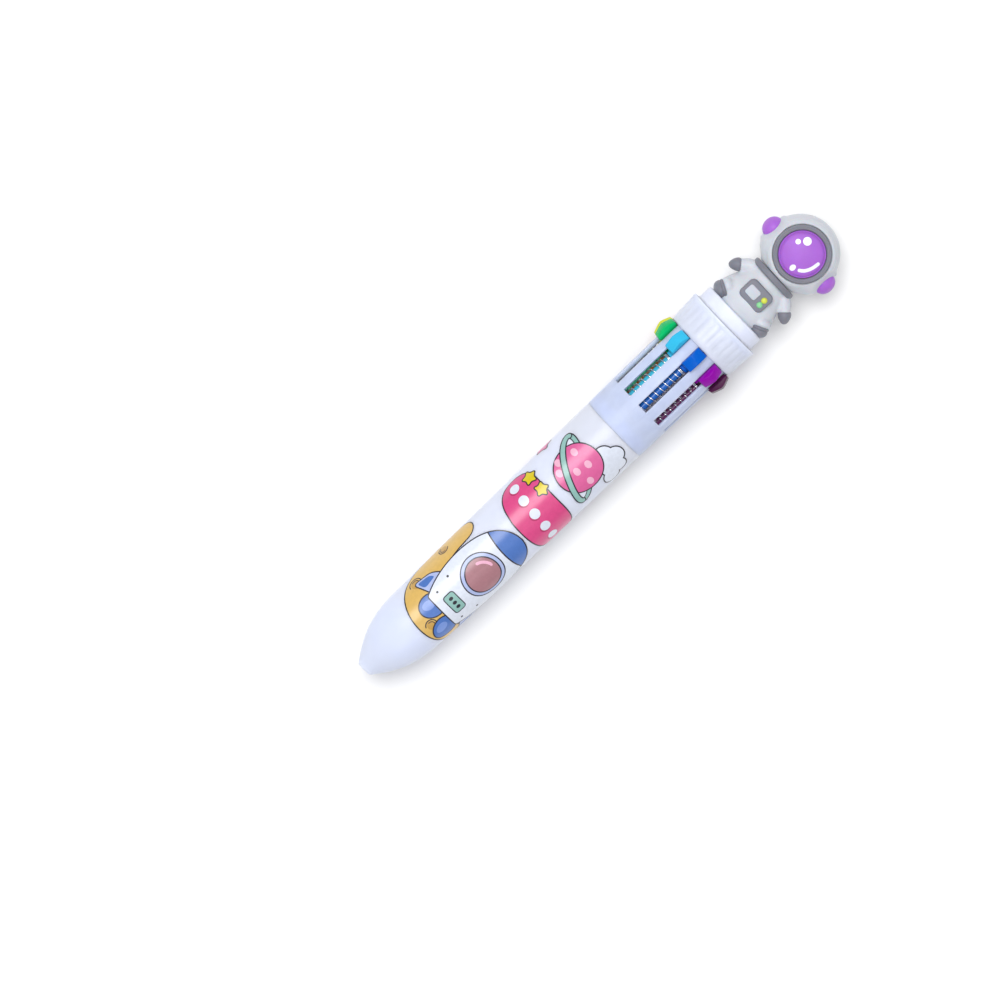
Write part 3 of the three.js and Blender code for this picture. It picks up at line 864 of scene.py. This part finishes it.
def rounded_plate(width, height, corner):
    """The outline of a plate with round corners, about the origin."""
    across, up = width / 2 - corner, height / 2 - corner
    corners = ((across, up, 0), (-across, up, 90), (-across, -up, 180), (across, -up, 270))
    return [point for x, y, start in corners for point in arc((x, y), corner, start, start + 90, 8)]


def slab(name, outline, low, high, edge, place, material, replaced=(), slot=None):
    """A plate with a soft front edge: an outline in X and Y that is raised along Z."""
    rows = [(0, low)] + [(edge * (1 - math.cos(a)), high - edge * (1 - math.sin(a)))
                         for a in (math.radians(15 * i) for i in range(7))]
    points = []
    for inset, height in rows:
        points += [(x, y, height) for x, y in grow(outline, -inset)]
    count = len(outline)
    faces = [tuple(reversed(range(count)))]
    for row in range(len(rows) - 1):
        start = row * count
        for i in range(count):
            j = (i + 1) % count
            faces.append((start + i, start + j, start + count + j, start + count + i))
    faces.append(tuple(range((len(rows) - 1) * count, len(rows) * count)))
    return make(name, points, faces, place, material, ROOT, replaced, slot)


def grow(outline, by):
    """The outline moved outwards by a distance. It runs anticlockwise."""
    line = np.array(outline, dtype=float)
    ahead = np.roll(line, -1, axis=0) - line
    ahead /= np.linalg.norm(ahead, axis=1)[:, None]
    behind = np.roll(ahead, 1, axis=0)
    along = ahead + behind
    along /= np.maximum(np.linalg.norm(along, axis=1), 1e-6)[:, None]
    sharp = np.maximum((along * ahead).sum(axis=1), 0.45)
    out = np.stack([along[:, 1], -along[:, 0]], axis=1)
    return [tuple(p) for p in line + out * (by / sharp)[:, None]]


def chest_panel(grey, pale, green, yellow):
    place = FIGURE @ Matrix.Translation((0, CHEST_UP, 0))
    slab("chest_panel", rounded_plate(7, 5.2, 1.25), 3.3, 4.85, 0.4, place, grey, ["figure_chest_panel"],
         "trim_rubber")
    window = place @ Matrix.Translation((-1.1, 0, 0))
    slab("chest_window", rounded_plate(3.1, 2.5, 0.5), 4.6, 4.95, 0.12, window, pale, slot="suit_rubber")
    for name, up, tone in (("green", -0.85, green), ("yellow", 0.6, yellow)):
        dome = [(0, 4.5), (0.72, 4.5), (0.72, 4.85)] + bezier([(0.72, 4.85), (0.6, 5.25), (0, 5.28)], 6)[1:]
        light = place @ Matrix.Translation((2.05, up, 0)) @ Matrix.Rotation(math.pi / 2, 4, "X")
        lathe(f"chest_light_{name}", dome, light, tone, ROOT, slot="trim_rubber", sides=40, closed=False)


FACE_AXIS = FACE @ Matrix.Rotation(math.pi / 2, 4, "X")
DOME_TOP = 7.35  # how far the visor stands forward
DOME_FALL = 1.15  # from there to its edge
DOME_EDGE = 5.5


def dome_height(reach):
    """How far forward the visor is at a distance from its middle."""
    return DOME_TOP - DOME_FALL * (reach / DOME_EDGE) ** 2


def figure_head(suit, grey, glass, pod, shine):
    neck = [(3, 10.75), (6.03, 10.75), (6.03, 12.25), (3, 12.25)]
    lathe("neck_ring", rounded(neck, 0.55, 6), FIGURE, grey, ROOT, ["figure_neck_ring"], "trim_rubber",
          stretch=(1, 1, 0.82))
    shapes = [ball((0, HELMET_CENTRE, 0), (HELMET_RADIUS, HELMET_RADIUS, HELMET_DEPTH), sides=96)]
    shapes.append(drum(5.2, 12.35, 14.5, Matrix.Diagonal((1, 1, 0.8, 1))))
    flare = [(0, -4.6), (6.2, -2.6), (5.0, -1.0), (4.0, -0.2), (3.5, 0.5), (0, 0.5)]
    shapes += [turned_block(flare, pod_frame(side, 0)) for side in (-1, 1)]
    face_on = Matrix.Translation((0, HELMET_CENTRE + FACE_RISE, 0)) @ Matrix.Rotation(math.pi / 2, 4, "X")
    bezel = [(0, 0), (8.1, 0), (8, 4.4), (7.2, 5.5), (0, 5.5)]
    shapes.append(turned_block(bezel, face_on))
    recess = drum(RIM_OUTER + 0.04, 4, 12, face_on)
    under = drum(14, 8, 12.35, Matrix())
    seats = [drum(6, 0.45, 5, pod_frame(side)) for side in (-1, 1)]
    moulded("figure_helmet_shell", shapes, [recess, under, *seats], suit, ["figure_helmet"], "suit_rubber")
    rim = [(RIM_INNER, 4.3), (RIM_OUTER, 4.3), (RIM_OUTER, 6.35)]
    rim += bezier([(RIM_OUTER, 6.35), (RIM_OUTER, 6.75), (6.36, 6.78)], 5)[1:]
    rim += [(6.2, 6.78), (6.12, 6.68), (6.04, 6.78)]
    rim += bezier([(5.95, 6.78), (5.6, 6.78), (RIM_INNER, 6.3)], 6)
    lathe("visor_rim", rim, FACE_AXIS, grey, ROOT, ["figure_visor_rim"], "trim_rubber")
    edge = RIM_INNER - 0.07
    visor = [(0, 4.3), (edge, 4.3), (edge, 5.8)] + bezier([(edge, 5.8), (edge, 6.1), (5.3, 6.14)], 4)[1:]
    visor += [(5.22, 6.1), (5.16, 6.02), (5.1, 6.08)]
    visor += [(reach, dome_height(reach)) for reach in (5, 4.4, 3.8, 3.2, 2.6, 2, 1.4, 0.8, 0.3, 0)]
    lathe("visor_dome", visor, FACE_AXIS, glass, ROOT, ["figure_visor"], "visor_rubber", closed=False)
    for side, name in SIDES:
        cap = [(0, -1), (2.62, -1), (2.62, 0.2)] + bezier([(2.62, 0.2), (2.52, 1.4), (1.3, 1.99)], 10)[1:]
        cap += bezier([(1.3, 1.99), (0.8, 2.2), (0, 2.2)], 5)[1:]
        lathe(f"{name}_ear_pod", cap, FIGURE @ pod_frame(side), pod, ROOT, [f"figure_{name}_ear_pod"],
              "visor_rubber", sides=72, closed=False)
    # Painted highlights: pale marks on the visor dome that stand in for reflections of light on it.
    marks = Print("visor_painted_highlights", FACE, lambda u, v, lift: (u, v, dome_height(math.hypot(u, v)) + lift))
    marks.fill(arc((-2.8, 1.25), 0.61, 0, 345, 23), shine)
    marks.fill(arc((-1.43, 2.84), 0.98, 0, 345, 23), shine)
    marks.fill(oval((0.73, -3.64), 0.64, 0.8), shine)
    marks.fill(stroke(bezier([(2.2, -2.95), (3.9, -1.9), (4.02, 1.14)], 14), 0.4), shine)
    marks.finish("visor_rubber")


# ---- print ----

LAYER = 0.012  # between one ink and the next
GRID = 0.5  # between the points inside a shape
LINE = 0.3  # the width of a drawn outline
PRINT_RADIUS = 8.1  # at which distances round the barrel are measured


def oval(centre, across, up, turn=0.0, pieces=32):
    """An ellipse, turned by an angle in degrees."""
    points = []
    for i in range(pieces):
        a = 2 * math.pi * i / pieces
        x, y = across * math.cos(a), up * math.sin(a)
        c, s = math.cos(math.radians(turn)), math.sin(math.radians(turn))
        points.append((centre[0] + x * c - y * s, centre[1] + x * s + y * c))
    return points


def stroke(line, half):
    """The outline of a line drawn with a round pen."""
    path = np.array(line, dtype=float)
    step = np.gradient(path, axis=0)
    step /= np.linalg.norm(step, axis=1)[:, None]
    side = np.stack([step[:, 1], -step[:, 0]], axis=1) * half
    heads = []
    for end, way in ((path[-1], step[-1]), (path[0], -step[0])):
        turn = math.degrees(math.atan2(way[1], way[0]))
        heads.append(arc(tuple(end), half, turn - 75, turn + 75, 8))
    right = [tuple(p) for p in path + side]
    left = [tuple(p) for p in (path - side)[::-1]]
    return right + heads[0] + left + heads[1]


def star(centre, radius, turn):
    """A five-pointed star with soft points."""
    points = []
    for i in range(10):
        reach = radius if i % 2 == 0 else radius * 0.52
        a = math.radians(turn + 36 * i)
        points.append((centre[0] + reach * math.cos(a), centre[1] + reach * math.sin(a)))
    return rounded(points, radius * 0.28, 3)


def inside(points, ring):
    """Which points lie inside a ring."""
    x, y = points[:, 0][:, None], points[:, 1][:, None]
    x0, y0 = ring[:, 0], ring[:, 1]
    x1, y1 = np.roll(x0, -1), np.roll(y0, -1)
    crosses = (y0 > y) != (y1 > y)
    rise = np.where(y1 == y0, 1e-9, y1 - y0)
    return (crosses & (x < (x1 - x0) * (y - y0) / rise + x0)).sum(axis=1) % 2 == 1


def dense(outline):
    """The outline with its long edges divided, so that it follows the surface."""
    points = []
    for start, end in zip(outline, outline[1:] + outline[:1]):
        pieces = max(1, math.ceil(math.dist(start, end) / GRID))
        points += [(start[0] + (end[0] - start[0]) * i / pieces, start[1] + (end[1] - start[1]) * i / pieces)
                   for i in range(pieces)]
    return np.array(points)


def spline(points, pieces=6):
    """A smooth closed line through the points."""
    count, line = len(points), []
    for i in range(count):
        a, b, c, d = (Vector(points[(i + k) % count]) for k in (-1, 0, 1, 2))
        line += bezier([tuple(b), tuple(b + (c - a) / 6), tuple(c - (d - b) / 6), tuple(c)], pieces)[:-1]
    return line


class Print:
    """Shapes of flat ink on a curved surface. wrap turns (u, v, height) into a point of the place's frame."""

    def __init__(self, name, place, wrap):
        self.name, self.place, self.wrap = name, place, wrap
        self.points, self.faces, self.inks, self.kinds = [], [], [], []

    def fill(self, outline, ink, layer=1):
        ring = dense(outline)
        low, high = ring.min(axis=0), ring.max(axis=0)
        across, up = np.arange(low[0], high[0], GRID), np.arange(low[1], high[1], GRID)
        grid = np.stack(np.meshgrid(across, up), axis=-1).reshape(-1, 2)
        within = inside(grid, np.array(grow(outline, -GRID * 0.35))) & inside(grid, ring)
        corners = [Vector(p) for p in ring] + [Vector(p) for p in grid[within]]
        flat, _, faces, *_ = delaunay_2d_cdt(corners, [], [list(range(len(ring)))], 1, 1e-5)
        start = len(self.points)
        self.points += [self.wrap(p.x, p.y, layer * LAYER) for p in flat]
        if ink not in self.inks:
            self.inks.append(ink)
        for face in faces:
            a, b, c = (flat[v] for v in face[:3])
            upward = (b - a).cross(c - a) > 0
            self.faces.append(tuple(start + v for v in (face if upward else reversed(face))))
            self.kinds.append(self.inks.index(ink))

    def drawn(self, outline, ink, line_ink, layer=1, line=LINE):
        """A filled shape with a line round it."""
        self.fill(grow(outline, line), line_ink, layer)
        self.fill(outline, ink, layer + 1)

    def finish(self, slot):
        piece = make(self.name, self.points, self.faces, self.place, self.inks[0], ROOT, slot=slot)
        for ink in self.inks[1:]:
            piece.data.materials.append(ink)
        for face, kind in zip(piece.data.polygons, self.kinds):
            face.material_index = kind
        return piece


BARREL_LINE = np.array(barrel_outside())


def on_barrel(u, v, lift):
    """A point of the print: u mm round the barrel from the figure's front, v mm from the nose end."""
    radius = float(np.interp(v, BARREL_LINE[:, 1], BARREL_LINE[:, 0])) + lift
    turn = u / PRINT_RADIUS
    return (radius * math.sin(turn), v, radius * math.cos(turn))


def moon(inks):
    made = Print("print_moon", PEN, on_barrel)
    crescent = spline([
        (-8.6, 41.0), (-11.2, 39.6), (-13.2, 34.5), (-12.6, 28), (-10.2, 22.4), (-6.9, 18.8), (-2.5, 16.7),
        (2, 16.1), (6.5, 16.7), (10.6, 18.6), (13.4, 21.6), (13.8, 24.5), (8, 22.5), (1.5, 23), (-3.4, 26.2),
        (-4.9, 30), (-5.9, 34.8), (-6.5, 39.4),
    ])
    made.drawn(crescent, inks["yellow"], inks["line"])
    for x, y, size, start in ((-7.2, 22.3, 1.6, 40), (3.2, 18.6, 1.4, 20), (-9.4, 32.2, 1.3, 200)):
        made.fill(oval((x, y), size * 0.9, size * 0.75), inks["ochre"], 3)
        made.fill(stroke(arc((x, y), size, start, start + 230, 20), 0.13), inks["line"], 4)
        made.fill(stroke(arc((x, y), size * 0.62, start + 30, start + 170, 12), 0.1), inks["line"], 4)
    made.finish("barrel_white")


def rocket(inks):
    made = Print("print_rocket", PEN, on_barrel)
    middle, window = 3.0, (3.0, 35)
    flank = [(middle + 5.2, 22.6), (middle + 10.6, 32), (middle + 8.6, 46.4), (middle, 46.8)]
    right = bezier(flank, 36)
    left = [(2 * middle - x, y) for x, y in reversed(right)][1:]
    for side in (-1, 1):
        fin = [(middle + side * x, y) for x, y in ((5.6, 30.4), (9.4, 26.6), (10.2, 21.8), (5.0, 24))]
        made.drawn(rounded(fin[::side * -1], 1.3, 5), inks["pale_blue"], inks["line"], 5)
        tip = [(middle + side * x, y) for x, y in ((7.9, 26.9), (9.1, 25.9), (9.7, 22.5), (7.3, 23.4))]
        made.fill(rounded(tip[::side * -1], 0.9, 5), inks["blue"], 7)
        engine = (middle + side * 3.2, 21.2 - side * 0.7)
        made.drawn(oval(engine, 2.7, 3.1, 12 * side), inks["blue"], inks["line"], 7)
        made.fill(oval((engine[0] - 0.6, engine[1] - 0.6), 1.1, 1.6, 12 * side), inks["sky"], 9)
    made.drawn(rounded(right + left, 1.0, 5), inks["white"], inks["line"], 10)
    band = 24  # where the nose cap starts along the flank
    cap_end = left[-band - 1]
    dip = [cap_end, (middle, cap_end[1] - 1.6), right[band]]
    made.fill(right[band:] + left[:-band] + bezier(dip, 10)[1:-1], inks["blue"], 12)
    made.fill(stroke(bezier(dip, 14), 0.16), inks["line"], 13)
    made.drawn(oval(window, 5.3, 5.0, pieces=64), inks["pale_blue"], inks["line"], 13)
    made.drawn(oval(window, 4.3, 4.0, pieces=56), inks["brown"], inks["line"], 15)
    made.fill(stroke(arc(window, 3.1, 105, 165, 12), 0.35), inks["blush"], 17)
    made.fill(oval((middle - 0.7, window[1] + 3.0), 0.4, 0.34), inks["blush"], 17)
    panel = [(middle + x, 26 + y) for x, y in rounded_plate(5, 2.7, 0.6)]
    made.drawn(panel, inks["teal"], inks["line"], 13, line=0.25)
    for offset in (-1.3, 0, 1.3):
        made.fill(oval((middle + offset, 26), 0.42, 0.55), inks["line"], 15)
    for side in (-1, 1):
        for x, y in ((5.6, 29), (4.6, 24.8)):
            made.fill(oval((middle + side * x, y), 0.3, 0.3), inks["line"], 12)
    made.finish("barrel_white")


def badge(inks):
    made = Print("print_badge", PEN, on_barrel)
    top = bezier([(11.6, 57.2), (9, 58.9), (4, 58.9)], 8) + bezier([(-4, 58.9), (-8.8, 58.9), (-9.6, 55)], 10)
    bottom = bezier([(-9.6, 54), (-9.3, 50), (-4, 48.6)], 10) + bezier([(-1, 48), (8, 47.4), (11.9, 50.4)], 12)
    made.drawn(top + bottom, inks["pink"], inks["line"])
    for i in range(5):
        x, y = -6.9 + 3.9 * i, 53.5 - 0.2 * i
        made.fill(oval((x + 0.25, y - 0.3), 1.3, 1.3), inks["magenta"], 3)
        made.fill(oval((x, y), 1.25, 1.25), inks["white"], 4)
    for centre, size, turn in (((-6.3, 57.8), 2.0, 100), ((-2.1, 58.1), 1.8, 75)):
        made.drawn(star(centre, size, turn), inks["star"], inks["line"], 5)
    made.finish("barrel_white")


def planet(name, centre, inks, cloudy=True):
    """A dotted planet with a ring round it, and a cloud behind it."""
    made = Print(name, PEN, on_barrel)
    x, y = centre
    if cloudy:
        puffs = ((2.2, 6.0, 2.4), (5.0, 5.6, 2.5), (7.6, 4.2, 2.0), (3.8, 8.0, 2.1), (6.6, 7.2, 1.7))
        for dx, dy, size in puffs:
            made.fill(oval((x + dx, y + dy), size + LINE, size + LINE), inks["line"], 1)
        for dx, dy, size in puffs:
            made.fill(oval((x + dx, y + dy), size, size), inks["white"], 2)
    middle, tilt = (x - 0.2, y - 0.5), -28
    hole = oval(middle, 7.5, 1.95, tilt, 64)
    made.drawn(oval(middle, 8.6, 2.9, tilt, 72), inks["teal"], inks["line"], 3)
    made.fill(hole, inks["line"], 5)
    made.fill(grow(hole, -LINE * 0.8), inks["white"], 6)
    made.drawn(oval(centre, 5.6, 5.6, 0, 64), inks["rose"], inks["line"], 7)
    for dx, dy in ((-3.3, 1.8), (0.8, 2.2), (0.3, -0.8), (4.0, 0), (-2.1, -3.95), (-4.1, -2.6)):
        made.fill(oval((x + dx, y + dy), 0.95, 0.8), inks["blush"], 9)
    front, half = oval(middle, 8.05, 2.42, tilt, 96)[47:], 0.55
    made.fill(stroke(front, half + LINE), inks["line"], 10)
    made.fill(stroke(front, half), inks["teal"], 11)
    made.finish("barrel_white")


def add_print():
    inks = {name: print_ink(f"ink_{name}", paint(code)) for name, code in {
        "line": "1C1A2A",
        "yellow": "D3AD5D",
        "ochre": "BE9548",
        "white": "D6DCEA",
        "blue": "466FB8",
        "pale_blue": "A9B6E0",
        "sky": "7390D2",
        "brown": "A3727B",
        "blush": "E4AAC4",
        "teal": "89B5AF",
        "pink": "D1417F",
        "rose": "D35B95",
        "magenta": "B0245F",
        "star": "D1BD06",
    }.items()}
    moon(inks)
    rocket(inks)
    badge(inks)
    planet("print_planet", (0.3, 67.4), inks)
    behind = math.pi * PRINT_RADIUS
    planet("print_planet_behind", (behind, 62), inks, cloudy=False)
    stars = Print("print_stars", PEN, on_barrel)
    spots = ((-5.5, 74, 1.9), (3.8, 51.5, 1.7), (-4.4, 46.2, 2.1), (4.9, 72.6, 1.5), (-2.2, 28.5, 1.6))
    for dx, y, size in spots:
        stars.drawn(star((behind + dx, y), size, 90 + 9 * dx), inks["star"], inks["line"])
    stars.drawn(star((-12.2, 64.6), 2.6, 12), inks["rose"], inks["line"])
    stars.finish("barrel_white")


# ---- build ----

add_camera()
add_studio()
white = barrel_white()
milky = {"scatter": 0.6, "reach_mm": 2}
clear = moulded_plastic("barrel_clear", (0.52, 0.585, 0.81), 0.32, 0.44, gloss=0.25, **milky)
collar_plastic = moulded_plastic("collar_plastic", (0.675, 0.73, 0.955), 0.26, 0.38, **milky)
plug_plastic = moulded_plastic("plug_plastic", (0.725, 0.76, 0.91), 0.4, 0.5, gloss=0.2, **milky)
lower_barrel(white)
upper_barrel(clear)
collar(collar_plastic)
top_plug(plug_plastic)
inner = moulded_plastic("inner_plastic", (0.93, 0.93, 0.95), 0.35, 0.5)
for inner_name in ("spring_seat", "guide_core"):
    refined(inner_name, f"{inner_name}_moulding", inner, ROOT, 0.1)
add_sectors()

suit_vinyl = soft_vinyl("suit_rubber", (0.57, 0.595, 0.65), 0.48)
trim_vinyl = soft_vinyl("trim_rubber", (0.19, 0.195, 0.235), 0.5)
visor_vinyl = soft_vinyl("visor_rubber", (0.37, 0.122, 0.6), 0.46)
figure_body(suit_vinyl)
figure_limbs(trim_vinyl)
chest_panel(
    trim_vinyl,
    soft_vinyl("window_rubber", (0.5, 0.54, 0.6), 0.45),
    soft_vinyl("green_light_rubber", (0.24, 0.62, 0.3), 0.4),
    soft_vinyl("yellow_light_rubber", (0.62, 0.66, 0.08), 0.4),
)
# The last material is the pale ink of the painted highlights on the visor.
figure_head(suit_vinyl, trim_vinyl, visor_vinyl, visor_vinyl, print_ink("painted_highlight_ink", (0.85, 0.85, 0.95)))
add_print()
